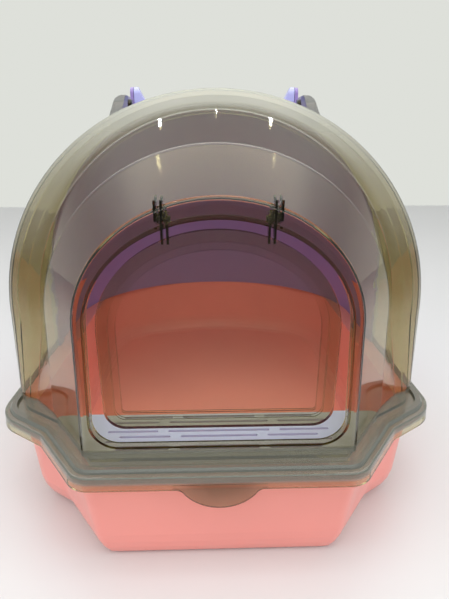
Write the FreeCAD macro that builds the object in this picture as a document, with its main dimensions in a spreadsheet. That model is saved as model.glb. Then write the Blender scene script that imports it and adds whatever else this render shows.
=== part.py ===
import FreeCAD, Part
import Sketcher
import math
import os
from collections import namedtuple
from types import SimpleNamespace

# Hooded litter box: a tray with a porch, a slotted step grate, a rear hood, a see-through front cover
# that swings up, a hanging door flap and a folding carry handle.
# Millimetres and degrees. The front looks along -Y, the floor is z = 0, the origin is under the middle.

SIZES = {
    # Outline of the rim skirt seen from above
    "body_width": 422,
    "body_length": 523,
    "porch_width": 230,
    "neck_width": 320,
    "neck_depth": 57,
    "shoulder_depth": 90,
    "porch_corner_radius": 24,
    "neck_radius": 14,
    "shoulder_radius": 42,
    "rear_corner_radius": 105,
    "back_radius": 300,
    "back_angle": 14.5,
    "least_radius": 1,
    # Tray
    "rim_height": 92.4,
    "tray_wall": 3,
    "tray_floor": 3.5,
    "wall_width": 387,
    "wall_top_inset": 8.5,
    "knee_inset": 12,
    "knee_height": 36,
    "foot_reach": 20,
    "porch_lean": 7,
    "lip_inset": 3.4,
    "lip_flare": 6.4,
    "lip_edge": 3.4,
    "lip_round": 1,
    "rib_thickness": 2.6,
    "rib_reach": 8,
    # Rim flange shared by the hood and the cover
    "seat_gap": 0.3,
    "skirt_drop": 12.3,
    "skirt_wall": 2.2,
    "skirt_draft": 0.8,
    "ledge_thickness": 2.6,
    "ledge_round": 2,
    "bead_inset": 5,
    "bead_width": 9,
    "bead_height": 3,
    "bead_draft": 1,
    "bead_round": 1.6,
    "step_inset": 20,
    "step_height": 2.8,
    # Dome shared by the hood and the cover
    "shell_wall": 2.5,
    "dome_base_inset": 7,
    "dome_inset": 10,
    "dome_spring": 180,
    "dome_height": 390,
    "seam_place": 8,
    "seam_gap": 1.2,
    # Rear hood
    "hood_back_inset": 11,
    "back_dome_depth": 163,
    "lip_reach": 8,
    "lip_root": 6,
    "lip_wall": 2.2,
    "lip_clearance": 0.5,
    # Front cover, from the dome forward to the door frame
    "dome_front_depth": 134,
    "dome_front_drop": 7,
    "arch_depth": 107,
    "arch_base_inset": 31,
    "arch_inset": 48,
    "arch_spring": 184,
    "arch_drop": 25,
    "shoulder_sweep": 65,
    "crease_depth": 84,
    "crease_base_inset": 55,
    "crease_inset": 60,
    "crease_spring": 190,
    "crease_drop": 50,
    "frame_depth": 26,
    "frame_base_width": 232,
    "frame_width": 224,
    "frame_drop": 83,
    "frame_round": 6,
    "frame_wall": 3,
    # Doorway
    "door_foot": 104,
    "frame_base_side": 11.5,
    "frame_side": 11,
    "door_spring": 206,
    "frame_head": 16,
    "door_corner_radius": 22,
    "reveal_depth": 8,
    "reveal_wall": 2.5,
    # Pull tab
    "tab_width": 75,
    "tab_neck_width": 56,
    "tab_drop": 18,
    "tab_neck_drop": 5,
    "tab_overlap": 5,
    # Door flap
    "flap_side_gap": 4.5,
    "flap_foot_gap": 8,
    "flap_top_gap": 10,
    "flap_spring_drop": 6,
    "flap_corner_radius": 18,
    "flap_back": 19,
    "flap_panel": 2.5,
    "flap_border": 9,
    "flap_border_rise": 1.6,
    "flap_band": 6,
    "flap_band_rise": 0.8,
    # Flap hinges
    "flap_axis_drop": 3,
    "flap_axis_depth": 48,
    "flap_hinge_spacing": 79,
    "flap_rib": 1.8,
    "flap_rib_pitch": 4.2,
    "flap_rib_radius": 4,
    "flap_rib_overlap": 15,
    "flap_lug_side": 4.5,
    "flap_lug_rise": 12,
    "flap_pin_radius": 1.6,
    "flap_pin_head_radius": 2.6,
    "flap_pin_head": 1.2,
    "flap_pin_spare": 0.6,
    # Cover hinge
    "cover_axis_rise": 18.7,
    "cover_axis_y": 20,
    "arm_inner": 96.5,
    "arm_width": 11,
    "arm_radius": 7.5,
    "arm_root": 40,
    "arm_corner_radius": 7,
    "ear_offset": 3.9,
    "ear_thickness": 2.7,
    "ear_radius": 6.5,
    "ear_foot": 26,
    "ear_clearance": 0.4,
    "cover_pin_radius": 3,
    "cover_pin_head_radius": 5,
    "cover_pin_head": 2,
    "pin_clearance": 0.05,
    # Carry handle
    "handle_axis_rise": 26.3,
    "handle_axis_y": 52,
    "handle_width": 191,
    "handle_leg": 11.6,
    "handle_reach": 60,
    "handle_grip": 22,
    "handle_corner_radius": 24,
    "handle_lift": 3,
    "handle_thickness": 7,
    "handle_boss_radius": 8.5,
    "handle_boss_cheek": 4.5,
    "handle_boss_slope": 14,
    "handle_ear_gap": 0.6,
    "handle_ear_thickness": 3.8,
    "handle_stub_radius": 3.5,
    "handle_stub_cap": 0.4,
    # Entry grate
    "grate_top": 86,
    "grate_thickness": 3,
    "grate_depth": 8,
    "grate_front_gap": 5.5,
    "grate_side_gap": 8,
    "grate_rear_depth": 101,
    "grate_corner_radius": 6,
    "slot_width": 3,
    "slot_pitch": 16,
    "slot_front_gap": 9,
    "long_slot": 95,
    "short_slot": 71,
    "side_slot": 47,
    "slot_bridge": 9,
    # One overrun for every cut
    "overrun": 2,
}
BOTTOM_STEPS = 6
SHOULDER_STEPS = 5
EDGE_STEPS = 3
SLOT_ROWS = 4
FRONT_DRAFT_SHARE = 0.5
RIB_SHARES = (0.12, 0.38, 0.74)
TAB_HIP_SHARE = 0.3

UP = FreeCAD.Vector(0, 0, 1)
ALONG = FreeCAD.Vector(0, 1, 0)
ACROSS = FreeCAD.Vector(1, 0, 0)
HERE = FreeCAD.Vector(0, 0, 0)

FORMULAS = {
    # Places along the box and levels
    "front_y": "-body_length / 2",
    "door_y": "front_y + frame_depth",
    "seam_y": "-seam_place",
    "hood_y": "seam_y + seam_gap",
    "crown_y": "body_length / 2 - hood_back_inset - back_dome_depth",
    "ledge_bottom": "rim_height + seat_gap",
    "ledge_top": "ledge_bottom + ledge_thickness",
    "skirt_bottom": "ledge_top - skirt_drop",
    # Half widths and tops of the arches
    "dome_base": "body_width / 2 - dome_base_inset",
    "dome_half": "body_width / 2 - dome_inset",
    "arch_base": "body_width / 2 - arch_base_inset",
    "arch_half": "body_width / 2 - arch_inset",
    "arch_top": "dome_height - arch_drop",
    "crease_base": "body_width / 2 - crease_base_inset",
    "crease_half": "body_width / 2 - crease_inset",
    "crease_top": "dome_height - crease_drop",
    "frame_base": "frame_base_width / 2",
    "frame_half": "frame_width / 2",
    "frame_top": "dome_height - frame_drop",
    "door_base": "frame_base - frame_base_side",
    "door_half": "frame_half - frame_side",
    "door_top": "frame_top - frame_head",
    # Flap and its hinges
    "flap_half": "door_half - flap_side_gap",
    "flap_back_y": "door_y + flap_back",
    "flap_axis_y": "front_y + flap_axis_depth",
    "flap_axis_z": "door_top - flap_axis_drop",
    "flap_pin_start": "(flap_hinge_spacing - flap_rib_pitch - flap_rib) / 2 - seat_gap",
    "flap_pin_length": "flap_rib_pitch / 2 + flap_rib + flap_lug_side + flap_pin_spare + seat_gap",
    # Hinges on top of the dome
    "dome_rise": "dome_height - dome_spring",
    "ear_outer": "arm_inner + ear_offset + ear_thickness",
    "cover_axis_z": "dome_spring + dome_rise * sqrt(1 - (ear_outer / dome_half) ^ 2) + cover_axis_rise",
    "cover_pin_start": "arm_inner - seat_gap",
    "cover_pin_length": "arm_width + 2 * seat_gap",
    "handle_half": "handle_width / 2",
    "handle_axis_z": "dome_spring + dome_rise * sqrt(1 - (handle_half / dome_half) ^ 2) + handle_axis_rise",
    # Entry grate and its slots, right half
    "grate_bottom": "grate_top - grate_depth",
    "grate_front_y": "door_y + grate_front_gap",
    "grate_middle_y": "front_y + crease_depth",
    "grate_rear_y": "front_y + grate_rear_depth",
    "grate_front_half": "frame_base - grate_side_gap",
    "grate_middle_half": "crease_base - grate_side_gap",
    "grate_rear_share": "(crease_depth - grate_rear_depth) / (crease_depth - arch_depth)",
    "grate_rear_half": "crease_base + (arch_base - crease_base) * grate_rear_share - grate_side_gap",
    "long_middle": "(long_slot - slot_width) / 2",
    "long_near": "(long_slot + slot_width) / 2 + slot_bridge",
    "long_far": "(long_slot - slot_width) / 2 + slot_bridge + side_slot",
    "long_row": "grate_front_y + slot_front_gap",
    "short_middle": "(short_slot - slot_width) / 2",
    "short_near": "(short_slot + slot_width) / 2 + slot_bridge",
    "short_far": "(short_slot - slot_width) / 2 + slot_bridge + side_slot",
    "short_row": "long_row + slot_pitch / 2",
}

doc = FreeCAD.newDocument("LitterBox")
sheet = doc.addObject("Spreadsheet::Sheet", "Sizes")


def fill_sheet():
    """One row for each size and each formula: its name, its cell and the alias that everything else reads."""
    cells = {name: str(value) for name, value in SIZES.items()}
    cells.update({name: f"={formula}" for name, formula in FORMULAS.items()})
    for row, (name, cell) in enumerate(cells.items(), start=1):
        sheet.set(f"A{row}", name)
        sheet.set(f"B{row}", cell)
        sheet.setAlias(f"B{row}", name)
    doc.recompute()
    return SimpleNamespace(**{name: float(sheet.get(name)) for name in cells})


d = fill_sheet()


# Outlines seen from above

def box_corners(width, push=0, lean=0):
    """Corners (x, y, radius) of the box, counter-clockwise from the right porch corner.

    The porch's front is pushed forward and its sides are drawn in by lean, with every side parallel to the rim's.
    """
    slope = math.radians(d.back_angle)
    peak = d.body_length / 2 - d.back_radius + d.back_radius / math.cos(slope)
    side = width / 2
    porch_slope = (d.neck_width - d.porch_width) / 2 / d.neck_depth
    shoulder_slope = (d.shoulder_depth - d.neck_depth) / (d.body_width - d.neck_width) * 2
    neck = d.neck_width / 2 - lean
    neck_y = d.front_y + d.neck_depth - lean * shoulder_slope
    front = d.front_y - push
    right = [
        (neck - (neck_y - front) * porch_slope, front, d.porch_corner_radius),
        (neck, neck_y, d.neck_radius),
        (side, neck_y + (side - neck) * shoulder_slope, d.shoulder_radius),
        (side, peak - side * math.tan(slope), d.rear_corner_radius),
    ]
    left = [(-x, y, radius) for x, y, radius in reversed(right)]
    return right + [(0, peak, d.back_radius)] + left


def inset_outline(corners, inset, height):
    """Closed wire of lines and tangent arcs: the rounded polygon drawn in by inset, at height."""
    sides = []
    for index, (x, y, _) in enumerate(corners):
        next_x, next_y, _ = corners[(index + 1) % len(corners)]
        along = FreeCAD.Vector(next_x - x, next_y - y, 0).normalize()
        inward = UP.cross(along)
        sides.append((FreeCAD.Vector(x, y, height) + inward * inset, along))
    bends = []
    for index, (_, _, corner_radius) in enumerate(corners):
        (start, before), (end, after) = sides[index - 1], sides[index]
        gap = end - start
        cross = before.x * after.y - before.y * after.x
        corner = start + before * ((gap.x * after.y - gap.y * after.x) / cross)
        radius = max(corner_radius - math.copysign(inset, cross), d.least_radius)
        half_turn = before.getAngle(after) / 2
        reach = radius * math.tan(half_turn)
        bulge = (after - before).normalize() * (radius / math.cos(half_turn) - radius)
        bends.append((corner - before * reach, corner + bulge, corner + after * reach))
    edges = []
    for index, (start, middle, end) in enumerate(bends):
        edges.append(Part.Arc(start, middle, end).toShape())
        edges.append(Part.LineSegment(end, bends[(index + 1) % len(bends)][0]).toShape())
    return Part.Wire(edges)


def rim_wires(profile):
    """Outlines parallel to the rim's, one for each (inset, height) of the profile."""
    corners = box_corners(d.body_width)
    return [inset_outline(corners, inset, height) for inset, height in profile]


def stack(wires):
    """Solid through closed outlines one above the other."""
    return Part.makeLoft(wires, True, True)


# Outlines seen from the front

Arch = namedtuple("Arch", "foot spring top base_half half radius", defaults=[0])


def grown(arch, by):
    """The same arch with every side moved outwards."""
    radius = arch.radius + by if arch.radius else 0
    return Arch(arch.foot - by, arch.spring, arch.top + by, arch.base_half + by, arch.half + by, radius)


def mixed(first, second, share):
    """The arch that lies at share of the way from the first to the second."""
    return Arch(*[a + (b - a) * share for a, b in zip(first, second)])


def quarter_ellipse(start, corner, end):
    """Exact quarter of an ellipse from start to end, whose tangents meet at the corner."""
    curve = Part.BezierCurve()
    curve.setPoles([start, corner, end])
    curve.setWeight(2, math.sqrt(0.5))
    return curve.toShape()


def arch_wire(arch, y):
    """Foot line, leaning sides and a half ellipse on top; the foot corners are rounded if radius is set."""
    def at(x, z):
        return FreeCAD.Vector(x, y, z)

    half, base, foot, radius = arch.half, arch.base_half, arch.foot, arch.radius
    edges = [Part.LineSegment(at(radius - base, foot), at(base - radius, foot)).toShape()]
    if radius:
        diagonal = radius * (1 - math.sqrt(0.5))
        edges.append(Part.Arc(at(base - radius, foot), at(base - diagonal, foot + diagonal),
                              at(base, foot + radius)).toShape())
    edges.append(Part.LineSegment(at(base, foot + radius), at(half, arch.spring)).toShape())
    edges.append(quarter_ellipse(at(half, arch.spring), at(half, arch.top), at(0, arch.top)))
    edges.append(quarter_ellipse(at(0, arch.top), at(-half, arch.top), at(-half, arch.spring)))
    edges.append(Part.LineSegment(at(-half, arch.spring), at(-base, foot + radius)).toShape())
    if radius:
        edges.append(Part.Arc(at(-base, foot + radius), at(diagonal - base, foot + diagonal),
                              at(radius - base, foot)).toShape())
    return Part.Wire(edges)


def arch_slab(arch, start_y, end_y):
    """The arch as a solid from start_y to end_y."""
    return Part.Face(arch_wire(arch, start_y)).extrude(ALONG * (end_y - start_y))


def arch_loft(sections):
    """Solid through (y, arch) sections, with straight rulings between them."""
    return Part.makeLoft([arch_wire(arch, y) for y, arch in sections], True, True)


def dome_level(x):
    """Height of the dome's outer surface at the seam, x from the middle."""
    return d.dome_spring + d.dome_rise * math.sqrt(1 - (x / d.dome_half) ** 2)


dome = Arch(d.ledge_bottom, d.dome_spring, d.dome_height, d.dome_base, d.dome_half)


# Small solids

def block(x_range, y_range, z_range):
    """Box between three pairs of limits."""
    size = [high - low for low, high in (x_range, y_range, z_range)]
    return Part.makeBox(*size, FreeCAD.Vector(x_range[0], y_range[0], z_range[0]))


def side_plate(points, x_range):
    """Polygon of (y, z) points made thick along X."""
    corners = [FreeCAD.Vector(x_range[0], y, z) for y, z in points + points[:1]]
    return Part.Face(Part.makePolygon(corners)).extrude(ACROSS * (x_range[1] - x_range[0]))


def cross_rod(radius, y, z, x_range):
    """Cylinder along X."""
    return Part.makeCylinder(radius, x_range[1] - x_range[0], FreeCAD.Vector(x_range[0], y, z), ACROSS)


def thick_from(start, thickness):
    """Limits of a piece that starts at start."""
    return start, start + thickness


def thick_about(middle, thickness):
    """Limits of a piece about its middle."""
    return middle - thickness / 2, middle + thickness / 2


def pin_bore(radius, y, z, x_range):
    """Running bore for a pin through the plates that lie within x_range."""
    return cross_rod(radius + d.pin_clearance, y, z, (x_range[0] - d.overrun, x_range[1] + d.overrun))


def both_sides(shape):
    """The shape with its mirror image in the plane x = 0."""
    return [shape, shape.mirror(HERE, ACROSS)]


def add_feature(name, shape):
    """Document object that holds a finished shape; a compound of one solid becomes that solid."""
    if len(shape.Solids) == 1:
        shape = shape.Solids[0]
    feature = doc.addObject("Part::Feature", name)
    feature.Label = name
    feature.Shape = shape
    feature.Placement = FreeCAD.Placement()
    return feature


# Tray

def tray_outline(draft_inset, wall, height):
    """Outline of the tray's wall, drawn in by its draft and by a wall; the porch leans in on its own shares."""
    draft = draft_inset - d.wall_top_inset
    lean = d.porch_lean * min(draft / (d.knee_inset - d.wall_top_inset), 1)
    corners = box_corners(d.wall_width, draft * (1 - FRONT_DRAFT_SHARE), lean)
    return inset_outline(corners, draft_inset + wall, height)


def bowl(wall, floor):
    """Outlines from the floor up to the wall's top: a quarter ellipse to the knee, then a straight wall."""
    wires = []
    for step in range(BOTTOM_STEPS + 1):
        turn = step / BOTTOM_STEPS * math.pi / 2
        height = floor + (d.knee_height - floor) * (1 - math.cos(turn))
        wires.append(tray_outline(d.knee_inset + d.foot_reach * (1 - math.sin(turn)), wall, height))
    return wires + [tray_outline(d.wall_top_inset, wall, d.rim_height - d.lip_flare)]


def make_tray():
    outer = stack(bowl(0, 0) + rim_wires([
        (d.lip_inset, d.rim_height - d.lip_edge),
        (d.lip_inset, d.rim_height - d.lip_round),
        (d.lip_inset + d.lip_round, d.rim_height),
    ]))
    inner = stack(bowl(d.tray_wall, d.tray_floor) +
                  [tray_outline(d.wall_top_inset, d.tray_wall, d.rim_height + d.overrun)])
    seat = d.grate_bottom - d.seat_gap
    ribs = []
    for share in RIB_SHARES:
        x = share * d.body_width / 2
        on_porch = x < d.porch_width / 2
        end = d.grate_front_y + d.rib_reach if on_porch else d.grate_rear_y
        ribs += both_sides(block(thick_about(x, d.rib_thickness), (d.front_y, end), (0, seat)).common(outer))
    return add_feature("tray", outer.cut(inner).fuse(ribs).removeSplitter())


# Rim flange: ledge, skirt, bead and step over the whole outline, cut in two at the seam

def flange():
    draft_inset = d.skirt_draft
    edge = [(draft_inset + d.ledge_round * (1 - math.cos(turn)), d.ledge_top - d.ledge_round * (1 - math.sin(turn)))
            for turn in (step / EDGE_STEPS * math.pi / 2 for step in range(EDGE_STEPS + 1))]
    outer = stack(rim_wires([(0, d.skirt_bottom)] + edge))
    under = stack(rim_wires([(d.skirt_wall, d.skirt_bottom - d.overrun),
                             (d.skirt_wall + draft_inset, d.ledge_bottom)]))
    crown = d.ledge_top + d.bead_height
    shoulder = crown - d.bead_round
    root = d.ledge_top - d.ledge_thickness / 2
    bead_end = d.bead_inset + d.bead_width
    ridge = stack(rim_wires([(d.bead_inset, root), (d.bead_inset + d.bead_draft, shoulder),
                             (d.bead_inset + d.bead_draft + d.bead_round, crown)]))
    hollow = stack(rim_wires([(bead_end, root - d.overrun), (bead_end - d.bead_draft, shoulder),
                              (bead_end - d.bead_draft - d.bead_round, crown + d.overrun)]))
    step = stack(rim_wires([(d.step_inset, root), (d.step_inset + d.bead_draft, d.ledge_top + d.step_height)]))
    return outer.cut(under).fuse([ridge.cut(hollow), step])


def half_space(y_range):
    """Block wider and taller than the box, between two places along it."""
    reach = d.body_width / 2 + d.overrun
    return block((-reach, reach), y_range, (-d.overrun, d.dome_height + d.body_width))


# Rear hood

def rounded_back(arch, depth):
    """Quarter dome behind d.crown_y: the arch's half turned about the upright axis and drawn out to depth."""
    def at(x, z):
        return FreeCAD.Vector(x, d.crown_y, z)

    half = Part.Wire([
        Part.LineSegment(at(0, arch.foot), at(arch.base_half, arch.foot)).toShape(),
        Part.LineSegment(at(arch.base_half, arch.foot), at(arch.half, arch.spring)).toShape(),
        quarter_ellipse(at(arch.half, arch.spring), at(arch.half, arch.top), at(0, arch.top)),
        Part.LineSegment(at(0, arch.top), at(0, arch.foot)).toShape(),
    ])
    turned = Part.Face(half).revolve(FreeCAD.Vector(0, d.crown_y, 0), UP, 180)
    ratio = depth / arch.base_half
    stretch = FreeCAD.Matrix()
    stretch.A22 = ratio
    stretch.A24 = d.crown_y * (1 - ratio)
    return turned.transformGeometry(stretch)


def make_rear_hood(rim):
    reach = d.body_length / 2 + d.overrun
    outer = arch_slab(dome, d.hood_y, d.crown_y).fuse(rounded_back(dome, d.back_dome_depth))
    inside = grown(dome, -d.shell_wall)._replace(foot=d.ledge_bottom - d.overrun)
    inner = arch_slab(inside, d.hood_y - d.overrun, d.crown_y).fuse(
        rounded_back(inside, d.back_dome_depth - d.shell_wall))
    ear_range = thick_from(d.arm_inner + d.ear_offset, d.ear_thickness)
    handle_ear_range = thick_from(d.handle_half + d.handle_ear_gap, d.handle_ear_thickness)
    ears = [hinge_ear(d.cover_axis_y, d.cover_axis_z, d.ear_radius, ear_range),
            hinge_ear(d.handle_axis_y, d.handle_axis_z, d.handle_boss_radius, handle_ear_range)]
    shell = outer.fuse([rim.common(half_space((d.hood_y, reach)))] + [side for ear in ears for side in both_sides(ear)])
    shell = shell.cut(inner)
    lip_face = grown(dome, -d.shell_wall - d.lip_clearance)._replace(foot=d.ledge_bottom)
    lip_back = grown(lip_face, -d.lip_wall)._replace(foot=d.ledge_bottom - d.overrun)
    root_face = grown(dome, -d.shell_wall / 2)._replace(foot=d.ledge_bottom)
    lip_front, lip_end = d.seam_y - d.lip_reach, d.hood_y + d.lip_root
    lip = arch_slab(lip_face, lip_front, lip_end).fuse(arch_slab(root_face, d.hood_y, lip_end))
    lip = lip.cut(arch_slab(lip_back, lip_front - d.overrun, lip_end + d.overrun))
    cuts = both_sides(pin_bore(d.cover_pin_radius, d.cover_axis_y, d.cover_axis_z, ear_range))
    cuts += both_sides(pin_bore(d.handle_stub_radius, d.handle_axis_y, d.handle_axis_z, handle_ear_range))
    return add_feature("rear_hood", shell.fuse(lip).cut(cuts).removeSplitter())


def hinge_ear(y, z, radius, x_range):
    """Upright plate on the dome with a round head on the axis; its foot is cut by the hollow later."""
    foot = dome_level(x_range[1]) - d.shell_wall
    spread = d.ear_foot / 2
    plate = side_plate([(y - radius, z), (y - spread, foot), (y + spread, foot), (y + radius, z)], x_range)
    return plate.fuse(cross_rod(radius, y, z, x_range))


# Front cover

def cover_sections():
    """(y, arch) sections of the cover's outside, from the seam forward to the door frame."""
    dome_front = dome._replace(top=d.dome_height - d.dome_front_drop)
    arch = Arch(d.ledge_bottom, d.arch_spring, d.arch_top, d.arch_base, d.arch_half)
    crease = Arch(d.ledge_bottom, d.crease_spring, d.crease_top, d.crease_base, d.crease_half)
    frame = Arch(d.ledge_bottom, d.door_spring, d.frame_top, d.frame_base, d.frame_half)
    sections = [(d.seam_y, dome), (d.seam_y - d.lip_reach - d.overrun, dome)]
    sweep = math.radians(d.shoulder_sweep)
    for step in range(SHOULDER_STEPS + 1):
        turn = sweep * step / SHOULDER_STEPS
        run = (d.dome_front_depth - d.arch_depth) * math.sin(turn) / math.sin(sweep)
        share = (1 - math.cos(turn)) / (1 - math.cos(sweep))
        sections.append((d.front_y + d.dome_front_depth - run, mixed(dome_front, arch, share)))
    sections.append((d.front_y + d.crease_depth, crease))
    for step in range(EDGE_STEPS + 1):
        turn = step / EDGE_STEPS * math.pi / 2
        inset = d.frame_round * (1 - math.cos(turn))
        sections.append((d.door_y + d.frame_round * (1 - math.sin(turn)),
                         grown(frame, -inset)._replace(foot=d.ledge_bottom)))
    return sections


def inner_sections(sections):
    """The sections moved inwards by the wall, square to the slope between their neighbours."""
    inner = []
    frame_start = len(sections) - EDGE_STEPS - 1
    for index in range(1, frame_start + 1):
        y, arch = sections[index]
        (before_y, before), (after_y, after) = sections[index - 1], sections[index + 1]
        slope = math.atan2(before.half - after.half, before_y - after_y)
        inner.append((y + d.shell_wall * math.sin(slope), grown(arch, -d.shell_wall * math.cos(slope))))
    inner.insert(0, (d.seam_y + d.overrun, grown(dome, -d.shell_wall)))
    frame = grown(sections[frame_start][1], -d.frame_wall)
    inner[-1] = (d.door_y + d.frame_round, frame)
    inner.append((d.door_y + d.frame_wall, frame))
    return [(y, arch._replace(foot=d.ledge_bottom - d.overrun)) for y, arch in inner]


def hinge_arm():
    """Right arm of the cover: it leaves the dome ahead of the seam and ends in a round head on the axis."""
    x_range = thick_from(d.arm_inner, d.arm_width)
    y, z, radius = d.cover_axis_y, d.cover_axis_z, d.arm_radius
    low = dome_level(x_range[1]) - d.shell_wall
    root_y = d.seam_y - d.arm_root
    arm = side_plate([(root_y, low), (d.seam_y, low), (d.seam_y, z - radius), (y, z - radius),
                      (y, z + radius), (d.seam_y, z + radius), (root_y, dome_level(x_range[0]))], x_range)
    arm = arm.fuse(cross_rod(radius, y, z, x_range)).common(rounded_shoulder(x_range, z + radius, root_y))
    slot_start = x_range[0] + d.ear_offset - d.ear_clearance
    slot = block((slot_start, slot_start + d.ear_thickness + 2 * d.ear_clearance),
                 (y - radius - d.overrun, y + radius + d.overrun), (z - radius - d.overrun, z + radius + d.overrun))
    return arm.cut(slot)


def rounded_shoulder(x_range, top, start_y):
    """Block under the arm's top whose outer upper edge is rounded; it spans the arm from start_y back."""
    def at(x, z):
        return FreeCAD.Vector(x, start_y - d.overrun, z)

    (left, right), bottom, radius = x_range, d.dome_spring, d.arm_corner_radius
    diagonal = radius * (1 - math.sqrt(0.5))
    outline = Part.Wire([
        Part.makePolygon([at(right, top - radius), at(right, bottom), at(left, bottom), at(left, top),
                          at(right - radius, top)]),
        Part.Arc(at(right - radius, top), at(right - diagonal, top - diagonal), at(right, top - radius)).toShape(),
    ])
    return Part.Face(outline).extrude(ALONG * d.body_width)


def pull_tab():
    """Bell-shaped tab that carries the front skirt down."""
    def at(x, z):
        return FreeCAD.Vector(x, d.front_y, z)

    half, neck = d.tab_width / 2, d.tab_neck_width / 2
    top, waist, low = d.skirt_bottom, d.skirt_bottom - d.tab_neck_drop, d.skirt_bottom - d.tab_drop
    hip_x, hip_z = neck + (half - neck) * TAB_HIP_SHARE, top - d.tab_neck_drop * TAB_HIP_SHARE
    outline = Part.Wire([
        Part.Arc(at(-half, top), at(-hip_x, hip_z), at(-neck, waist)).toShape(),
        Part.Arc(at(-neck, waist), at(0, low), at(neck, waist)).toShape(),
        Part.Arc(at(neck, waist), at(hip_x, hip_z), at(half, top)).toShape(),
        Part.makePolygon([at(half, top), at(half, top + d.tab_overlap), at(-half, top + d.tab_overlap),
                          at(-half, top)]),
    ])
    return Part.Face(outline).extrude(ALONG * d.skirt_wall)


def door_arch():
    return Arch(d.door_foot, d.door_spring, d.door_top, d.door_base, d.door_half, d.door_corner_radius)


def flap_rib_places():
    """Middles of the flap's two ribs and of the frame's two lugs on the right side."""
    middle = d.flap_hinge_spacing / 2
    return (middle - d.flap_rib_pitch / 2, middle + d.flap_rib_pitch / 2), (middle, middle + d.flap_lug_side)


def flap_hinge_range():
    """Limits of the right flap hinge, from its inner rib to its outer lug."""
    ribs, lugs = flap_rib_places()
    return min(ribs) - d.flap_rib / 2, max(lugs) + d.flap_rib / 2


def flap_lugs():
    """Thin lugs of the frame that hold the right flap pin, joined to the back of the door frame."""
    _, lug_places = flap_rib_places()
    y, z, radius = d.flap_axis_y, d.flap_axis_z, d.flap_rib_radius
    wall_y = d.door_y + d.frame_wall / 2
    top = z + d.flap_lug_rise
    outline = [(y, z - radius), (y + radius, z), (y + radius / 2, z + radius), (wall_y, top + radius),
               (wall_y, z + radius / 2)]
    limits = [thick_about(x, d.flap_rib) for x in lug_places]
    return [side_plate(outline, x_range).fuse(cross_rod(radius, y, z, x_range)) for x_range in limits]


def make_front_cover(rim):
    sections = cover_sections()
    inner = arch_loft(inner_sections(sections))
    front_rim = rim.common(half_space((d.front_y - d.overrun, d.seam_y)))
    door = door_arch()
    reveal = arch_slab(grown(door, d.reveal_wall), d.door_y + d.frame_wall / 2, d.door_y + d.reveal_depth)
    shell = arch_loft(sections).fuse([front_rim, pull_tab()] + both_sides(hinge_arm())).cut(inner)
    lugs = [side for lug in flap_lugs() for side in both_sides(lug)]
    shell = shell.fuse([reveal] + lugs)
    cuts = [arch_slab(door, d.door_y - d.overrun, d.door_y + d.reveal_depth + d.overrun)]
    cuts += both_sides(pin_bore(d.cover_pin_radius, d.cover_axis_y, d.cover_axis_z,
                                thick_from(d.arm_inner, d.arm_width)))
    cuts += both_sides(pin_bore(d.flap_pin_radius, d.flap_axis_y, d.flap_axis_z, flap_hinge_range()))
    return add_feature("front_cover", shell.cut(cuts).removeSplitter())


# Door flap

def flap_arch():
    return Arch(d.door_foot + d.flap_foot_gap, d.door_spring - d.flap_spring_drop, d.door_top - d.flap_top_gap,
                d.flap_half, d.flap_half, d.flap_corner_radius)


def make_door_flap():
    outline = flap_arch()
    band = grown(outline, -d.flap_border)
    middle = grown(band, -d.flap_band)
    back, front = d.flap_back_y, d.flap_back_y - d.flap_panel
    panel = arch_slab(outline, front, back)
    border = arch_slab(outline, front - d.flap_border_rise, back + d.flap_border_rise).cut(
        arch_slab(band, front - d.body_width, back + d.body_width))
    slope = arch_slab(band, front - d.flap_band_rise, back + d.flap_band_rise).cut(
        arch_slab(middle, front - d.body_width, back + d.body_width))
    rib_places, _ = flap_rib_places()
    y, z, radius = d.flap_axis_y, d.flap_axis_z, d.flap_rib_radius
    ribs = []
    for x in rib_places:
        x_range = thick_about(x, d.flap_rib)
        share = x / outline.half
        edge = outline.spring + (outline.top - outline.spring) * math.sqrt(1 - share ** 2)
        plate = side_plate([(front, edge - d.flap_rib_overlap), (back, edge - d.flap_rib_overlap), (y + radius, z),
                            (y - radius, z)], x_range)
        ribs += both_sides(plate.fuse(cross_rod(radius, y, z, x_range)))
    bores = both_sides(pin_bore(d.flap_pin_radius, y, z, flap_hinge_range()))
    return add_feature("door_flap", panel.fuse([border, slope] + ribs).cut(bores).removeSplitter())


# Hinge pins: a shank and a head, each a cylinder bound to the sheet

def make_pin(kind, side_name, side):
    """Body of two coaxial cylinders along X, on the axis of its kind."""
    name = f"{kind}_hinge_pin_{side_name}"
    body = doc.addObject("PartDesign::Body", name)
    body.Label = name
    size = f"Sizes.{kind}_pin"
    parts = (("Shank", f"{size}_radius", f"{size}_length", f"{size}_start"),
             ("Head", f"{size}_head_radius", f"{size}_head", f"({size}_start - {size}_head)"))
    for label, radius, length, start in parts:
        cylinder = body.newObject("PartDesign::AdditiveCylinder", f"{name}_{label}")
        cylinder.setExpression("Radius", radius)
        cylinder.setExpression("Height", length)
        cylinder.Placement = FreeCAD.Placement(HERE, FreeCAD.Rotation(UP, ACROSS * side))
        cylinder.setExpression("Placement.Base.x", f"{side} * {start}")
        cylinder.setExpression("Placement.Base.y", f"Sizes.{kind}_axis_y")
        cylinder.setExpression("Placement.Base.z", f"Sizes.{kind}_axis_z")
    return body


def make_pins():
    return [make_pin(kind, side_name, side) for kind in ("cover", "flap")
            for side_name, side in (("right", 1), ("left", -1))]


# Carry handle

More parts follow.
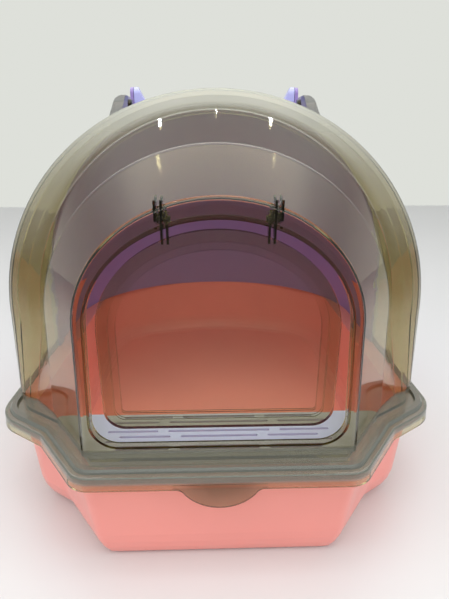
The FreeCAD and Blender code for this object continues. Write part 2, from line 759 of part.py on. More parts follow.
def handle_outline(half, reach, radius, height):
    """Plan of the bail: straight legs back from the axis and a straight grip with round corners."""
    start, end = d.handle_axis_y, d.handle_axis_y + reach
    diagonal = radius * (1 - math.sqrt(0.5))

    def at(x, y):
        return FreeCAD.Vector(x, y, height)

    return Part.Wire([
        Part.makePolygon([at(-half, end - radius), at(-half, start), at(half, start), at(half, end - radius)]),
        Part.Arc(at(half, end - radius), at(half - diagonal, end - diagonal), at(half - radius, end)).toShape(),
        Part.LineSegment(at(half - radius, end), at(radius - half, end)).toShape(),
        Part.Arc(at(radius - half, end), at(diagonal - half, end - diagonal), at(-half, end - radius)).toShape(),
    ])


def handle_knuckle(under):
    """Right end of the bail: a round head on the axis over a foot in the leg, sloped on its inner side."""
    y, z, radius = d.handle_axis_y, d.handle_axis_z, d.handle_boss_radius
    inner, outer = d.handle_half - d.handle_leg, d.handle_half
    x_range = (inner, outer)
    low = dome_level(outer)
    head = cross_rod(radius, y, z, x_range)
    foot = side_plate([(y - radius, z), (y - radius, low), (y + 2 * radius, low), (y + radius, z)], x_range)
    slope = [FreeCAD.Vector(x, y - d.body_width / 2, level) for x, level in (
        (outer, low), (outer, z + radius), (outer - d.handle_boss_cheek, z + radius),
        (inner, z + radius - d.handle_boss_slope), (inner, low), (outer, low))]
    wedge = Part.Face(Part.makePolygon(slope)).extrude(ALONG * d.body_width)
    return head.fuse(foot).common(wedge).cut(under)


def make_carry_handle():
    level = d.dome_spring
    rise = UP * (d.handle_axis_z + d.handle_boss_radius - level)
    outside = Part.Face(handle_outline(d.handle_half, d.handle_reach, d.handle_corner_radius, level)).extrude(rise)
    inside = Part.Face(handle_outline(d.handle_half - d.handle_leg, d.handle_reach - d.handle_grip,
                                      d.handle_corner_radius - d.handle_leg, level)).extrude(rise)
    start = d.handle_axis_y - d.handle_boss_radius - d.overrun
    end = d.handle_axis_y + d.handle_reach + d.overrun
    lifted = grown(dome, d.handle_lift)
    under = arch_slab(lifted, start - d.overrun, end + d.overrun)
    bail = arch_slab(grown(lifted, d.handle_thickness), start, end).cut(under).common(outside.cut(inside))
    stub = cross_rod(d.handle_stub_radius, d.handle_axis_y, d.handle_axis_z,
                     (d.handle_half - d.handle_leg / 2,
                      d.handle_half + d.handle_ear_gap + d.handle_ear_thickness + d.handle_stub_cap))
    return add_feature("carry_handle", bail.fuse(both_sides(handle_knuckle(under)) + both_sides(stub)).removeSplitter())


# Entry grate: a plate with a turned-down rim and rows of slots

def origin_plane(body, role):
    return next(feature for feature in body.Origin.OriginFeatures if feature.Role == role)


def flat_sketch(body, name, height):
    """Sketch on the body's XY plane, raised to a height given as a sheet formula."""
    sketch = body.newObject("Sketcher::SketchObject", name)
    sketch.AttachmentSupport = [(origin_plane(body, "XY_Plane"), "")]
    sketch.MapMode = "FlatFace"
    sketch.setExpression("AttachmentOffset.Base.z", height)
    return sketch


def bound(name, sign=1):
    """A size as a sketch takes it: its value and the formula that keeps it bound to the sheet."""
    return sign * getattr(d, name), f"{sign} * Sizes.{name}"


def pin_point(sketch, geometry, position, x, y):
    """Hold one point of the sketch by two distances from the origin, each a bound size."""
    for kind, (value, formula) in (("DistanceX", x), ("DistanceY", y)):
        index = sketch.addConstraint(Sketcher.Constraint(kind, -1, 1, geometry, position, value))
        sketch.setExpression(f"Constraints[{index}]", formula)


def draw_polygon(sketch, points):
    """Closed polygon through points given as pairs of bound sizes."""
    places = [FreeCAD.Vector(x[0], y[0], 0) for x, y in points]
    count = len(points)
    for index, place in enumerate(places):
        sketch.addGeometry(Part.LineSegment(place, places[(index + 1) % count]))
    for index in range(count):
        sketch.addConstraint(Sketcher.Constraint("Coincident", index, 2, (index + 1) % count, 1))
    for index, (x, y) in enumerate(points):
        pin_point(sketch, index, 1, x, y)


def draw_slot(sketch, start, end, y):
    """Slot along X with round ends; start, end and y are bound sizes of the end centres."""
    first = sketch.GeometryCount
    radius = d.slot_width / 2
    left, right = FreeCAD.Vector(start[0], y[0], 0), FreeCAD.Vector(end[0], y[0], 0)
    lift = ALONG * radius
    quarter = math.pi / 2
    sketch.addGeometry([
        Part.ArcOfCircle(Part.Circle(left, UP, radius), quarter, 3 * quarter),
        Part.LineSegment(left - lift, right - lift),
        Part.ArcOfCircle(Part.Circle(right, UP, radius), -quarter, quarter),
        Part.LineSegment(right + lift, left + lift),
    ])
    for index in range(4):
        sketch.addConstraint(Sketcher.Constraint("Tangent", first + index, 2, first + (index + 1) % 4, 1))
    sketch.addConstraint(Sketcher.Constraint("Equal", first, first + 2))
    width = sketch.addConstraint(Sketcher.Constraint("Radius", first, radius))
    sketch.setExpression(f"Constraints[{width}]", "Sizes.slot_width / 2")
    pin_point(sketch, first, 3, start, y)
    pin_point(sketch, first + 2, 3, end, y)


def cut_slot_rows(body, kind):
    """One row of three slots of a kind cut through the plate, repeated backwards every pitch."""
    sketch = flat_sketch(body, f"{kind}_slots_sketch", "Sizes.grate_top")
    row = bound(f"{kind}_row")
    draw_slot(sketch, bound(f"{kind}_middle", -1), bound(f"{kind}_middle"), row)
    draw_slot(sketch, bound(f"{kind}_near"), bound(f"{kind}_far"), row)
    draw_slot(sketch, bound(f"{kind}_far", -1), bound(f"{kind}_near", -1), row)
    pocket = body.newObject("PartDesign::Pocket", f"{kind}_slots_cut")
    pocket.Profile = sketch
    pocket.setExpression("Length", "Sizes.grate_thickness + Sizes.overrun")
    doc.recompute()
    pattern = body.newObject("PartDesign::LinearPattern", f"{kind}_slots_rows")
    pattern.Originals = [pocket]
    pattern.Direction = (sketch, ["V_Axis"])
    pattern.Occurrences = SLOT_ROWS
    pattern.setExpression("Length", f"{SLOT_ROWS - 1} * Sizes.slot_pitch")
    body.Tip = pattern
    doc.recompute()


def make_entry_grate():
    body = doc.addObject("PartDesign::Body", "entry_grate")
    body.Label = "entry_grate"
    places = ("front", "middle", "rear")
    right = [(bound(f"grate_{place}_half"), bound(f"grate_{place}_y")) for place in places]
    left = [(bound(f"grate_{place}_half", -1), bound(f"grate_{place}_y")) for place in reversed(places)]
    outline = flat_sketch(body, "grate_outline", "Sizes.grate_bottom")
    draw_polygon(outline, right + left)
    pad = body.newObject("PartDesign::Pad", "grate_pad")
    pad.Profile = outline
    pad.setExpression("Length", "Sizes.grate_depth")
    doc.recompute()
    upright = [f"Edge{index}" for index, edge in enumerate(pad.Shape.Edges, start=1)
               if abs(edge.tangentAt(edge.FirstParameter).z) > 0.5]
    corners = body.newObject("PartDesign::Fillet", "grate_corners")
    corners.Base = (pad, upright)
    corners.setExpression("Radius", "Sizes.grate_corner_radius")
    doc.recompute()
    under = [f"Face{index}" for index, face in enumerate(corners.Shape.Faces, start=1)
             if face.normalAt(0, 0).z < -0.5]
    hollow = body.newObject("PartDesign::Thickness", "grate_hollow")
    hollow.Base = (corners, under)
    hollow.Reversed = True
    hollow.Join = 1
    hollow.setExpression("Value", "Sizes.grate_thickness")
    doc.recompute()
    cut_slot_rows(body, "long")
    cut_slot_rows(body, "short")
    return body


def main():
    rim = flange()
    pieces = [make_tray(), make_entry_grate(), make_rear_hood(rim), make_front_cover(rim), make_door_flap(),
              make_carry_handle()] + make_pins()
    doc.recompute()
    for item in doc.Objects:
        if "Invalid" in item.State or "Error" in item.State:
            raise RuntimeError(f"{item.Label} failed: {item.State}")
    for piece in pieces:
        shape = piece.Shape
        if shape.isNull() or not shape.isValid() or len(shape.Solids) != 1:
            raise RuntimeError(f"{piece.Label} isn't one valid solid: {len(shape.Solids)}")
    os.makedirs("parts", exist_ok=True)
    for piece in pieces:
        piece.Shape.exportStep(f"parts/{piece.Label}.step")
        box = piece.Shape.BoundBox
        print(f"{piece.Label}: volume {piece.Shape.Volume:.0f}, "
              f"x {box.XMin:.1f} {box.XMax:.1f}, y {box.YMin:.1f} {box.YMax:.1f}, z {box.ZMin:.1f} {box.ZMax:.1f}")


main()
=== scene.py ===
from collections import namedtuple
import math

import bpy
from bpy.props import FloatProperty, FloatVectorProperty, PointerProperty
from bpy.types import Operator, Panel, PropertyGroup
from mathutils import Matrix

bl_info = {
    "name": "Hooded Litter Box",
    "version": (1, 0, 0),
    "blender": (4, 5, 0),
    "location": "View3D > Sidebar > Litter Box",
    "description": "Finishes the packed litter box: moulded colours, smoky clear plastic and a plain studio",
    "category": "Object",
}

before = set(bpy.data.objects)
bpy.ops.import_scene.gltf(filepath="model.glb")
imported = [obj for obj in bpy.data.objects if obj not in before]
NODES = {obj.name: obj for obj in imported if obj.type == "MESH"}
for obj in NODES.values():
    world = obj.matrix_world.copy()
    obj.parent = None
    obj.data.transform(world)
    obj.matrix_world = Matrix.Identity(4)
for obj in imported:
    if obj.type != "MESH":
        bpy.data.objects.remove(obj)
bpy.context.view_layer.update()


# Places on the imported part, in metres in its own frame

# The dark hinge plates of a clear piece stand in pairs. middle is the place midway between the two plates of
# a pair, reach the least and greatest distance from it, height their limits, and back where they start
# along Y.
Plates = namedtuple("Plates", "middle reach height back")
COVER_PLATES = Plates(0.04175, (0.0013, 0.0032), (0.2835, 0.3045), -0.2325)
FLAP_PLATES = Plates(0.0395, (0.00115, 0.00305), (0.2695, 0.2925), -0.2147)
PLATE_SOFT = 0.0001

COVER_CREASES = (-0.1545, -0.1775)   # along Y, the folds between crown and facets, where bright lines are painted as highlights
# Width and softness of the painted highlight lines on the folds
FOLD_HIGHLIGHT_HALF_WIDTH = 0.0004
FOLD_HIGHLIGHT_SOFT = 0.0003
COVER_CROWN_REFLECTION = (-0.1530, -0.1270)     # along Y, the shoulder painted pale from the front: a painted reflection
CROWN_REFLECTION_SOFT = 0.002
PAINTED_LIGHT_RISE = (0.24, 0.37)             # heights between which the painted fold highlights and crown reflection come in
PAINTED_LIGHT_LEAST = 0.04                    # what is left of them below that

RIM_HEIGHT = (0.0885, 0.1005)
RIM_SOFT = 0.0012
VEIL_FOOT = 0.11                     # below this height the veil belongs to rim and tab, above it to the painted highlights and reflection
TAB_HALF_WIDTH = 0.0377
TAB_SIDE_SOFT = 0.0002
TAB_HEIGHT = (0.0, 0.0845)
TAB_TOP_SOFT = 0.0003


# Looks of the plastics

CLEAR_TINT = (0.97, 0.97, 0.965, 1)
PLATE_TINT = (0.004, 0.006, 0.004, 1)
SHADOW_TINT = (0.985, 0.985, 0.98, 1)
CLEAR_IOR = 1.46
MOULDED_IOR = 1.5
CLEAR_ROUGHNESS = (0.015, 0.06)      # where untouched, where rubbed
SATIN_ROUGHNESS = 0.035
COAT_ROUGHNESS = 0.12
GRAIN_DEPTH = 0.0002

# Material, colour setting, shade of its drift, gloss, rub, grain, coat, and the pieces that wear it
MOULDED = (
    ("Coral plastic", "coral", 0.9, 0.32, 0.12, 0.12, 0.15, ("tray",)),
    ("Lilac plastic", "lilac", 0.93, 0.3, 0.12, 0.12, 0.15, ("carry_handle",)),
    # Painted light: the grate wears a paler copy of the handle's lilac
    ("Grate plastic", "grate", 0.95, 0.3, 0.12, 0.12, 0.15, ("entry_grate",)),
    # Painted shade: the hood wears a darker, more purple copy of the handle's lilac
    ("Hood plastic", "hood", 0.9, 0.3, 0.12, 0.12, 0.15, ("rear_hood",)),
    ("Dark pin plastic", "dark", 1.6, 0.3, 0.2, 0.1, 0.1, (
        "cover_hinge_pin_left", "cover_hinge_pin_right", "flap_hinge_pin_left", "flap_hinge_pin_right")),
)


# Studio

WALL = (0.73, 0.745, 0.70, 1)
ROOM_FRONT = (0.20, 0.19, 0.17, 1)
ROOM_TOP = (2.1, 2.3, 2.3, 1)
CORNICE = (2.8, 2.82, 2.65, 1)
FRONT_LIMITS = (0.15, -0.35)         # of the direction's Y, towards the dark side of the room
TOP_LIMITS = (0.35, 0.95)            # of its Z, towards the bright ceiling
CORNICE_HEIGHT = (0.6, 0.85)
CORNICE_BACK = (0.28, 0.45)

FLOOR_REACH = 6.0
FLOOR_ROUGHNESS = 0.35
FLOOR_DRIFT = (1.04, 1.04, 1.045)
FLOOR_FRONT = (0.20, 0.195, 0.18, 1)
FLOOR_FRONT_LIMITS = (-0.30, -0.60)
FLOOR_BEHIND = (0.30, 0.27, 0.16, 1)
FLOOR_BEHIND_LIMITS = (0.15, 0.50)

# Lamp, power setting, width, place, turn about X and Y in degrees, and spread in degrees
LAMPS = (
    ("ceiling_lamp", "key_power", 2.6, (0.0, -0.35, 2.0), (0, 0), 180),
    ("left_lamp", "fill_power", 0.8, (-1.5, -0.6, 0.7), (0, -66), 180),
    ("right_lamp", "fill_power", 0.8, (1.5, -0.6, 0.7), (0, 66), 180),
    ("front_lamp", "front_power", 1.0, (0.0, -1.7, 1.1), (60, 0), 180),
    ("cabin_lamp", "cabin_power", 0.22, (0.0, -0.07, 0.345), (35, 0), 140),
    ("left_spot", "spot_power", 0.05, (-0.7, -0.1, 1.9), (0, 0), 180),
    ("middle_spot", "spot_power", 0.05, (0.0, -0.2, 1.9), (0, 0), 180),
    ("right_spot", "spot_power", 0.05, (0.7, -0.1, 1.9), (0, 0), 180),
)
SENSOR_WIDTH = 36
NEAREST = 0.01


# Settings

def colour_setting(name, description, default):
    return FloatVectorProperty(name=name, description=description, subtype="COLOR", size=3, min=0, max=1,
                               default=default)


def share_setting(name, description, default):
    return FloatProperty(name=name, description=description, subtype="FACTOR", min=0, max=1, default=default)


def density_setting(name, description, default):
    return FloatProperty(name=name, description=description, min=0, max=1000, default=default)


def power_setting(name, description, most, default):
    return FloatProperty(name=name, description=description, subtype="POWER", unit="POWER", min=0, max=most,
                         default=default)


def length_setting(name, description, default):
    return FloatProperty(name=name, description=description, unit="LENGTH", default=default)


def angle_setting(name, description, default):
    return FloatProperty(name=name, description=description, subtype="ANGLE", unit="ROTATION",
                         default=math.radians(default))


class LitterBoxColours(PropertyGroup):
    coral: colour_setting("Coral", "Colour of the tray", (0.94, 0.33, 0.285))
    lilac: colour_setting("Lilac", "Colour of the handle", (0.50, 0.52, 0.86))
    # Painted light: the grate's lilac is made paler than the handle's
    grate: colour_setting("Grate", "Colour of the entry grate, the palest lilac", (0.61, 0.66, 1.0))
    # Painted shade: the hood's lilac is made darker and more purple than the handle's
    hood: colour_setting("Hood", "Colour of the rear hood, a deeper lilac", (0.30, 0.22, 0.52))
    dark: colour_setting("Pins", "Colour of the hinge pins", (0.022, 0.021, 0.020))
    smoke: colour_setting("Smoke", "What the clear plastic soaks up least, as a colour", (0.64, 0.58, 0.23))
    smoke_density: density_setting("Smoke density", "How fast the cover darkens with depth", 330)
    flap_density: density_setting("Flap smoke density", "How fast the flap darkens with depth", 195)
    # Painted highlights and reflection: pale is the colour painted on the cover's folds and crown
    pale: colour_setting("Painted highlights", "Colour of the bright folds and the crown", (0.66, 0.67, 0.60))
    fold_highlight_share: share_setting("Fold highlight share", "How much the bright folds hide", 0.4)
    crown_reflection_share: share_setting("Crown reflection share", "How much the pale crown hides", 0.42)
    haze: colour_setting("Rim haze", "Colour of the satin rim of the front cover", (0.25, 0.26, 0.24))
    haze_share: share_setting("Rim haze share", "How much the satin rim hides", 0.5)
    tab: colour_setting("Pull tab", "Colour of the pull tab, dark brown", (0.085, 0.070, 0.045))
    tab_share: share_setting("Pull tab share", "How much the pull tab hides", 0.2)


class LitterBoxStudio(PropertyGroup):
    lens: FloatProperty(name="Focal length", description="Of the camera on a 36 mm sensor", unit="CAMERA",
                        min=10, max=200, default=36.08)
    camera_x: length_setting("Camera X", "Camera to the right of the box", -0.005)
    camera_y: length_setting("Camera Y", "From the box's middle, in front where negative", -0.543)
    camera_z: length_setting("Camera height", "Above the floor", 0.345)
    pitch: angle_setting("Pitch", "How far the camera looks down", 20)
    yaw: angle_setting("Yaw", "How far the camera turns to the right", 1.64)
    key_power: power_setting("Ceiling light", "Of the large lamp overhead", 500, 32)
    fill_power: power_setting("Side light", "Of each lamp at the sides", 500, 5)
    front_power: power_setting("Front light", "Of the lamp above the camera", 500, 8)
    spot_power: power_setting("Small lights", "Of each small lamp on the ceiling", 100, 0.7)
    cabin_power: power_setting("Cabin light", "Of the lamp under the hood's roof", 50, 0.15)
    world_light: FloatProperty(name="Room light", description="Even light from the room", min=0, max=2,
                               default=0.46)
    floor_shade: share_setting("Floor", "How pale the floor is", 0.66)
    wall_y: FloatProperty(name="Wall", description="Where the floor ends behind the box", unit="LENGTH",
                          min=1, default=1.82)


# Node helpers

def new_material(name):
    """An empty node material and its output node."""
    material = bpy.data.materials.new(name)
    material.use_nodes = True
    nodes = material.node_tree.nodes
    nodes.clear()
    return material, nodes.new("ShaderNodeOutputMaterial")


def add_node(tree, kind, values=None, **settings):
    """A node of one kind with its settings and its unlinked input values."""
    node = tree.nodes.new(kind)
    for key, value in settings.items():
        setattr(node, key, value)
    for key, value in (values or {}).items():
        node.inputs[key].default_value = value
    return node


def link(tree, source, target):
    tree.links.new(source, target)


def object_coordinates(tree):
    return add_node(tree, "ShaderNodeTexCoord").outputs["Object"]


def split(tree, vector):
    """X, Y and Z of a vector."""
    node = add_node(tree, "ShaderNodeSeparateXYZ")
    link(tree, vector, node.inputs[0])
    return [node.outputs[axis] for axis in "XYZ"]


def math_node(tree, operation, first, second=None, clamp=False):
    """Result of one Math node whose inputs are sockets or numbers."""
    node = add_node(tree, "ShaderNodeMath", operation=operation, use_clamp=clamp)
    for index, value in enumerate((first, second)):
        if isinstance(value, bpy.types.NodeSocket):
            link(tree, value, node.inputs[index])
        elif value is not None:
            node.inputs[index].default_value = value
    return node.outputs[0]


def times(tree, first, second):
    return math_node(tree, "MULTIPLY", first, second)


def mix_colour(tree, factor, first, second):
    """Blend of two colours by a mask; each is a socket or a colour."""
    node = add_node(tree, "ShaderNodeMix", data_type="RGBA")
    for socket, value in ((node.inputs["Factor"], factor), (node.inputs[6], first), (node.inputs[7], second)):
        if isinstance(value, bpy.types.NodeSocket):
            link(tree, value, socket)
        else:
            socket.default_value = value
    return node.outputs[2]


def mix_shader(tree, factor, first, second):
    """Blend of two shaders by a mask."""
    node = add_node(tree, "ShaderNodeMixShader")
    for socket, source in zip(node.inputs, (factor, first, second)):
        link(tree, source, socket)
    return node.outputs[0]


def noise(tree, place, scale, detail, roughness=0.5, distortion=0.0):
    node = add_node(tree, "ShaderNodeTexNoise", {
        "Scale": scale, "Detail": detail, "Roughness": roughness, "Distortion": distortion})
    link(tree, place, node.inputs["Vector"])
    return node.outputs["Fac"]


def ramp(tree, value, start, end, low=0.0, high=1.0, kind="SMOOTHSTEP"):
    """Value that goes from low to high while another goes from start to end."""
    node = add_node(tree, "ShaderNodeMapRange", {
        "From Min": start, "From Max": end, "To Min": low, "To Max": high}, interpolation_type=kind)
    link(tree, value, node.inputs["Value"])
    return node.outputs[0]


def band(tree, value, low, high, soft):
    """Mask that is 1 where the value lies between low and high, with soft ends."""
    return times(tree, ramp(tree, value, low - soft, low + soft), ramp(tree, value, high + soft, high - soft))


# Materials

def moulded_group():
    """Shared effect: soft shade drift, moulded grain and faint rubbing of injection-moulded plastic."""
    tree = bpy.data.node_groups.new("Moulded plastic", "ShaderNodeTree")
    face = tree.interface
    for kind, name, default in (
            ("NodeSocketColor", "Colour", (0.5, 0.5, 0.5, 1)),
            ("NodeSocketColor", "Drift Colour", (0.45, 0.45, 0.45, 1)),
            ("NodeSocketFloat", "Gloss", 0.3),
            ("NodeSocketFloat", "Rub", 0.2),
            ("NodeSocketFloat", "Grain", 0.1)):
        face.new_socket(name, in_out="INPUT", socket_type=kind).default_value = default
    for kind, name in (("NodeSocketColor", "Colour"), ("NodeSocketFloat", "Roughness"),
                       ("NodeSocketVector", "Normal")):
        face.new_socket(name, in_out="OUTPUT", socket_type=kind)
    given = add_node(tree, "NodeGroupInput").outputs
    result = add_node(tree, "NodeGroupOutput").inputs
    place = object_coordinates(tree)
    drift = ramp(tree, noise(tree, place, scale=9, detail=3), 0.38, 0.66, high=0.55, kind="LINEAR")
    link(tree, mix_colour(tree, drift, given["Colour"], given["Drift Colour"]), result["Colour"])
    rub = ramp(tree, noise(tree, place, scale=34, detail=6, roughness=0.68, distortion=0.6), 0.5, 0.72,
               kind="LINEAR")
    rubbed = times(tree, rub, given["Rub"])
    link(tree, math_node(tree, "ADD", given["Gloss"], rubbed, clamp=True), result["Roughness"])
    bump = add_node(tree, "ShaderNodeBump", {"Distance": GRAIN_DEPTH})
    link(tree, given["Grain"], bump.inputs["Strength"])
    link(tree, noise(tree, place, scale=900, detail=2, roughness=0.6), bump.inputs["Height"])
    link(tree, bump.outputs["Normal"], result["Normal"])
    return tree


def moulded_material(name, group, colour, drift, gloss, rub, grain, coat):
    """Opaque moulded plastic: the shared group feeds colour, roughness and normal of one shader."""
    material, output = new_material(name)
    tree = material.node_tree
    effect = add_node(tree, "ShaderNodeGroup", {
        "Colour": (*colour, 1), "Drift Colour": (*(part * drift for part in colour), 1),
        "Gloss": gloss, "Rub": rub, "Grain": grain}, node_tree=group)
    shader = add_node(tree, "ShaderNodeBsdfPrincipled", {
        "IOR": MOULDED_IOR, "Coat Weight": coat, "Coat Roughness": COAT_ROUGHNESS})
    for source, target in (("Colour", "Base Color"), ("Roughness", "Roughness"), ("Normal", "Normal")):
        link(tree, effect.outputs[source], shader.inputs[target])
    link(tree, shader.outputs[0], output.inputs["Surface"])
    return material


def plate_mask(tree, place, side, plates):
    """Mask of the dark hinge plates, whose limits are those of one Plates."""
    off = math_node(tree, "ABSOLUTE", math_node(tree, "SUBTRACT", side, plates.middle))
    across = band(tree, off, *plates.reach, PLATE_SOFT)
    upright = band(tree, place[2], *plates.height, PLATE_SOFT)
    behind = math_node(tree, "GREATER_THAN", place[1], plates.back)
    return times(tree, times(tree, across, upright), behind)


def satin_and_painted_light_share(tree, place, tab, colours, creases, crown):
    """How much the satin veil hides: the greatest of rim, pull tab and the painted fold highlights and crown
    reflection.
    """
    rim = times(tree, band(tree, place[2], *RIM_HEIGHT, RIM_SOFT), colours.haze_share)
    hidden = math_node(tree, "MAXIMUM", rim, times(tree, tab, colours.tab_share))
    # The painted fold highlights and crown reflection come in with height
    raised = ramp(tree, place[2], *PAINTED_LIGHT_RISE, low=PAINTED_LIGHT_LEAST, kind="LINEAR")
    strips = [((crease - FOLD_HIGHLIGHT_HALF_WIDTH, crease + FOLD_HIGHLIGHT_HALF_WIDTH), FOLD_HIGHLIGHT_SOFT, colours.fold_highlight_share)
              for crease in creases]
    if crown:
        strips.append((crown, CROWN_REFLECTION_SOFT, colours.crown_reflection_share))
    for limits, soft, amount in strips:
        strip = times(tree, band(tree, place[1], *limits, soft), raised)
        hidden = math_node(tree, "MAXIMUM", hidden, times(tree, strip, amount))
    return hidden


def smoky_material(name, colours, density, plates, creases=(), crown=None):
    """Clear tinted plastic that darkens with depth, at a rate given by density.

    Its hinge plates and pull tab are dark and its rim is satin. creases are the places along Y of folds that
    get painted highlights, and crown the limits along Y of the strip painted pale from the front. That strip
    is a painted reflection, standing in for what the real cover mirrors there.
    """
    material, output = new_material(name)
    tree = material.node_tree
    where = object_coordinates(tree)
    place = split(tree, where)
    side = math_node(tree, "ABSOLUTE", place[0])
    rubbed = noise(tree, where, scale=24, detail=6, roughness=0.7, distortion=0.8)
    clear = add_node(tree, "ShaderNodeBsdfPrincipled", {"IOR": CLEAR_IOR, "Transmission Weight": 1.0})
    link(tree, mix_colour(tree, plate_mask(tree, place, side, plates), CLEAR_TINT, PLATE_TINT),
         clear.inputs["Base Color"])
    link(tree, ramp(tree, rubbed, 0.5, 0.8, *CLEAR_ROUGHNESS, kind="LINEAR"), clear.inputs["Roughness"])
    tab = times(tree, band(tree, side, -TAB_HALF_WIDTH, TAB_HALF_WIDTH, TAB_SIDE_SOFT),
                band(tree, place[2], *TAB_HEIGHT, TAB_TOP_SOFT))
    satin = add_node(tree, "ShaderNodeBsdfPrincipled", {"Roughness": SATIN_ROUGHNESS, "IOR": MOULDED_IOR})
    low_shade = mix_colour(tree, tab, (*colours.haze, 1), (*colours.tab, 1))
    # Above the rim the veil takes the pale colour of the painted highlights and reflection
    above_rim = math_node(tree, "GREATER_THAN", place[2], VEIL_FOOT)
    link(tree, mix_colour(tree, above_rim, low_shade, (*colours.pale, 1)), satin.inputs["Base Color"])
    veiled = mix_shader(tree, satin_and_painted_light_share(tree, place, tab, colours, creases, crown),
                        clear.outputs[0], satin.outputs[0])
    passing = add_node(tree, "ShaderNodeBsdfTransparent", {"Color": SHADOW_TINT})
    in_shadow = add_node(tree, "ShaderNodeLightPath").outputs["Is Shadow Ray"]
    link(tree, mix_shader(tree, in_shadow, veiled, passing.outputs[0]), output.inputs["Surface"])
    depth = add_node(tree, "ShaderNodeVolumeAbsorption", {"Color": (*colours.smoke, 1), "Density": density})
    link(tree, depth.outputs[0], output.inputs["Volume"])
    return material


def dress(node, material):
    """Give a CAD node one material in every slot."""
    mesh = NODES[node].data
    if not mesh.materials:
        mesh.materials.append(material)
    for slot in NODES[node].material_slots:
        slot.material = material


# Operators

class LITTERBOX_OT_stage(Operator):
    """Pale floor, soft lamps, room light and the camera"""
    bl_idname = "litterbox.stage"
    bl_label = "Stage"

    def execute(self, context):
        studio = context.scene.litterbox_studio
        self.make_floor(context, studio)
        self.make_world(context, studio)
        self.make_lamps(context, studio)
        self.make_camera(context, studio)
        return {"FINISHED"}

    def make_floor(self, context, studio):
        """A pale floor that ends at the wall behind the box.

        Rays other than camera rays see it darker in front of the box, and transmitted rays also behind it.
        """
        mesh = bpy.data.meshes.new("studio_floor")
        corners = [(-FLOOR_REACH, -FLOOR_REACH, 0), (FLOOR_REACH, -FLOOR_REACH, 0),
                   (FLOOR_REACH, studio.wall_y, 0), (-FLOOR_REACH, studio.wall_y, 0)]
        mesh.from_pydata(corners, [], [(0, 1, 2, 3)])
        floor = bpy.data.objects.new("studio_floor", mesh)
        context.scene.collection.objects.link(floor)
        material, output = new_material("Pale floor")
        tree = material.node_tree
        where = object_coordinates(tree)
        along = split(tree, where)[1]
        rays = add_node(tree, "ShaderNodeLightPath").outputs
        pale = studio.floor_shade
        shade = mix_colour(tree, noise(tree, where, scale=3, detail=4), (pale, pale, pale, 1),
                           (*(pale * part for part in FLOOR_DRIFT), 1))
        unseen = math_node(tree, "SUBTRACT", 1.0, rays["Is Camera Ray"])
        front = times(tree, ramp(tree, along, *FLOOR_FRONT_LIMITS), unseen)
        shade = mix_colour(tree, front, shade, FLOOR_FRONT)
        behind = times(tree, ramp(tree, along, *FLOOR_BEHIND_LIMITS), rays["Is Transmission Ray"])
        shade = mix_colour(tree, behind, shade, FLOOR_BEHIND)
        shader = add_node(tree, "ShaderNodeBsdfPrincipled", {"Roughness": FLOOR_ROUGHNESS})
        link(tree, shade, shader.inputs["Base Color"])
        link(tree, shader.outputs[0], output.inputs["Surface"])
        mesh.materials.append(material)

    def make_world(self, context, studio):
        """A pale wall for the camera, a made-up room for mirrored and transmitted rays, else even light."""
        world = bpy.data.worlds.new("Room")
        context.scene.world = world
        world.use_nodes = True
        tree = world.node_tree
        tree.nodes.clear()
        rays = add_node(tree, "ShaderNodeLightPath").outputs
        way = split(tree, add_node(tree, "ShaderNodeTexCoord").outputs["Generated"])
        room = mix_colour(tree, ramp(tree, way[1], *FRONT_LIMITS), WALL, ROOM_FRONT)
        room = mix_colour(tree, ramp(tree, way[2], *TOP_LIMITS), room, ROOM_TOP)
        cornice = times(tree, ramp(tree, way[2], *CORNICE_HEIGHT), ramp(tree, way[1], *CORNICE_BACK))
        room = mix_colour(tree, cornice, room, CORNICE)
        light = add_node(tree, "ShaderNodeBackground", {
            "Color": (1, 1, 1, 1), "Strength": studio.world_light})
        wall = add_node(tree, "ShaderNodeBackground", {"Color": WALL})
        around = add_node(tree, "ShaderNodeBackground")
        link(tree, room, around.inputs["Color"])
        mirrored = math_node(tree, "MAXIMUM", rays["Is Glossy Ray"], rays["Is Transmission Ray"])
        reflected = mix_shader(tree, mirrored, light.outputs[0], around.outputs[0])
        output = add_node(tree, "ShaderNodeOutputWorld")
        seen = mix_shader(tree, rays["Is Camera Ray"], reflected, wall.outputs[0])
        link(tree, seen, output.inputs["Surface"])

    def make_lamps(self, context, studio):
        """Area lamps; only the small ones on the ceiling are mirrored in the part."""
        for name, setting, width, place, turn, spread in LAMPS:
            lamp = bpy.data.lights.new(name, "AREA")
            lamp.shape = "DISK"
            lamp.size = width
            lamp.energy = getattr(studio, setting)
            lamp.spread = math.radians(spread)
            holder = bpy.data.objects.new(name, lamp)
            holder.location = place
            holder.rotation_euler = (math.radians(turn[0]), math.radians(turn[1]), 0)
            holder.visible_glossy = holder.visible_transmission = name.endswith("spot")
            context.scene.collection.objects.link(holder)

    def make_camera(self, context, studio):
        data = bpy.data.cameras.new("camera")
        data.sensor_fit = "HORIZONTAL"
        data.sensor_width = SENSOR_WIDTH
        data.lens = studio.lens
        data.clip_start = NEAREST
        camera = bpy.data.objects.new("camera", data)
        camera.location = (studio.camera_x, studio.camera_y, studio.camera_z)
        camera.rotation_euler = (math.pi / 2 - studio.pitch, 0, -studio.yaw)
        context.scene.collection.objects.link(camera)
        context.scene.camera = camera
        context.scene.view_settings.view_transform = "Standard"


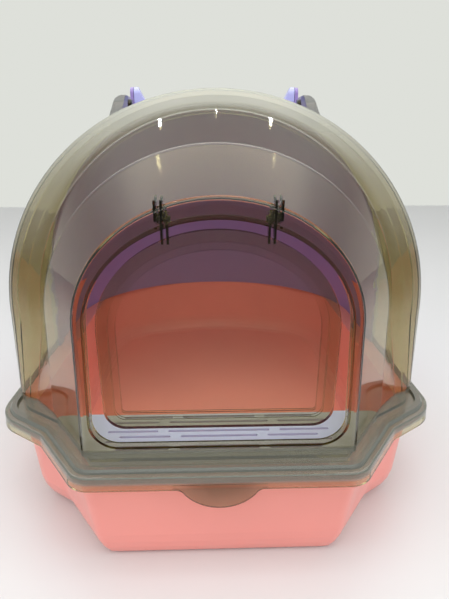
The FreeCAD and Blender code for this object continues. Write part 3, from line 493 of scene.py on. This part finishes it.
class LITTERBOX_OT_opaque(Operator):
    """Coral tray, lilac hood, handle and grate, dark pins"""
    bl_idname = "litterbox.opaque"
    bl_label = "Moulded pieces"

    def execute(self, context):
        colours = context.scene.litterbox_colours
        group = bpy.data.node_groups.get("Moulded plastic") or moulded_group()
        for name, setting, *finish, pieces in MOULDED:
            material = moulded_material(name, group, getattr(colours, setting), *finish)
            for piece in pieces:
                dress(piece, material)
        return {"FINISHED"}


class LITTERBOX_OT_clear(Operator):
    """Smoky front cover and door flap"""
    bl_idname = "litterbox.clear"
    bl_label = "Clear pieces"

    def execute(self, context):
        colours = context.scene.litterbox_colours
        dress("front_cover", smoky_material("Smoky cover", colours, colours.smoke_density, COVER_PLATES,
                                            COVER_CREASES, COVER_CROWN_REFLECTION))
        dress("door_flap", smoky_material("Smoky flap", colours, colours.flap_density, FLAP_PLATES))
        return {"FINISHED"}


class LITTERBOX_PT_sidebar(Panel):
    """Settings and steps of the litter box"""
    bl_label = "Litter Box"
    bl_idname = "LITTERBOX_PT_sidebar"
    bl_space_type = "VIEW_3D"
    bl_region_type = "UI"
    bl_category = "Litter Box"

    def draw(self, context):
        layout = self.layout
        for group in (context.scene.litterbox_colours, context.scene.litterbox_studio):
            box = layout.box()
            for name in group.bl_rna.properties.keys():
                if name not in ("rna_type", "name"):
                    box.prop(group, name)
        for operator in STEPS:
            layout.operator(operator.bl_idname)


STEPS = (LITTERBOX_OT_stage, LITTERBOX_OT_opaque, LITTERBOX_OT_clear)
SETTINGS = (LitterBoxColours, LitterBoxStudio)


def register():
    for kind in SETTINGS + STEPS + (LITTERBOX_PT_sidebar,):
        bpy.utils.register_class(kind)
    bpy.types.Scene.litterbox_colours = PointerProperty(type=LitterBoxColours)
    bpy.types.Scene.litterbox_studio = PointerProperty(type=LitterBoxStudio)


def unregister():
    del bpy.types.Scene.litterbox_colours
    del bpy.types.Scene.litterbox_studio
    for kind in reversed(SETTINGS + STEPS + (LITTERBOX_PT_sidebar,)):
        bpy.utils.unregister_class(kind)


def main():
    register()
    bpy.ops.litterbox.stage()
    bpy.ops.litterbox.opaque()
    bpy.ops.litterbox.clear()


if __name__ == "__main__":
    main()
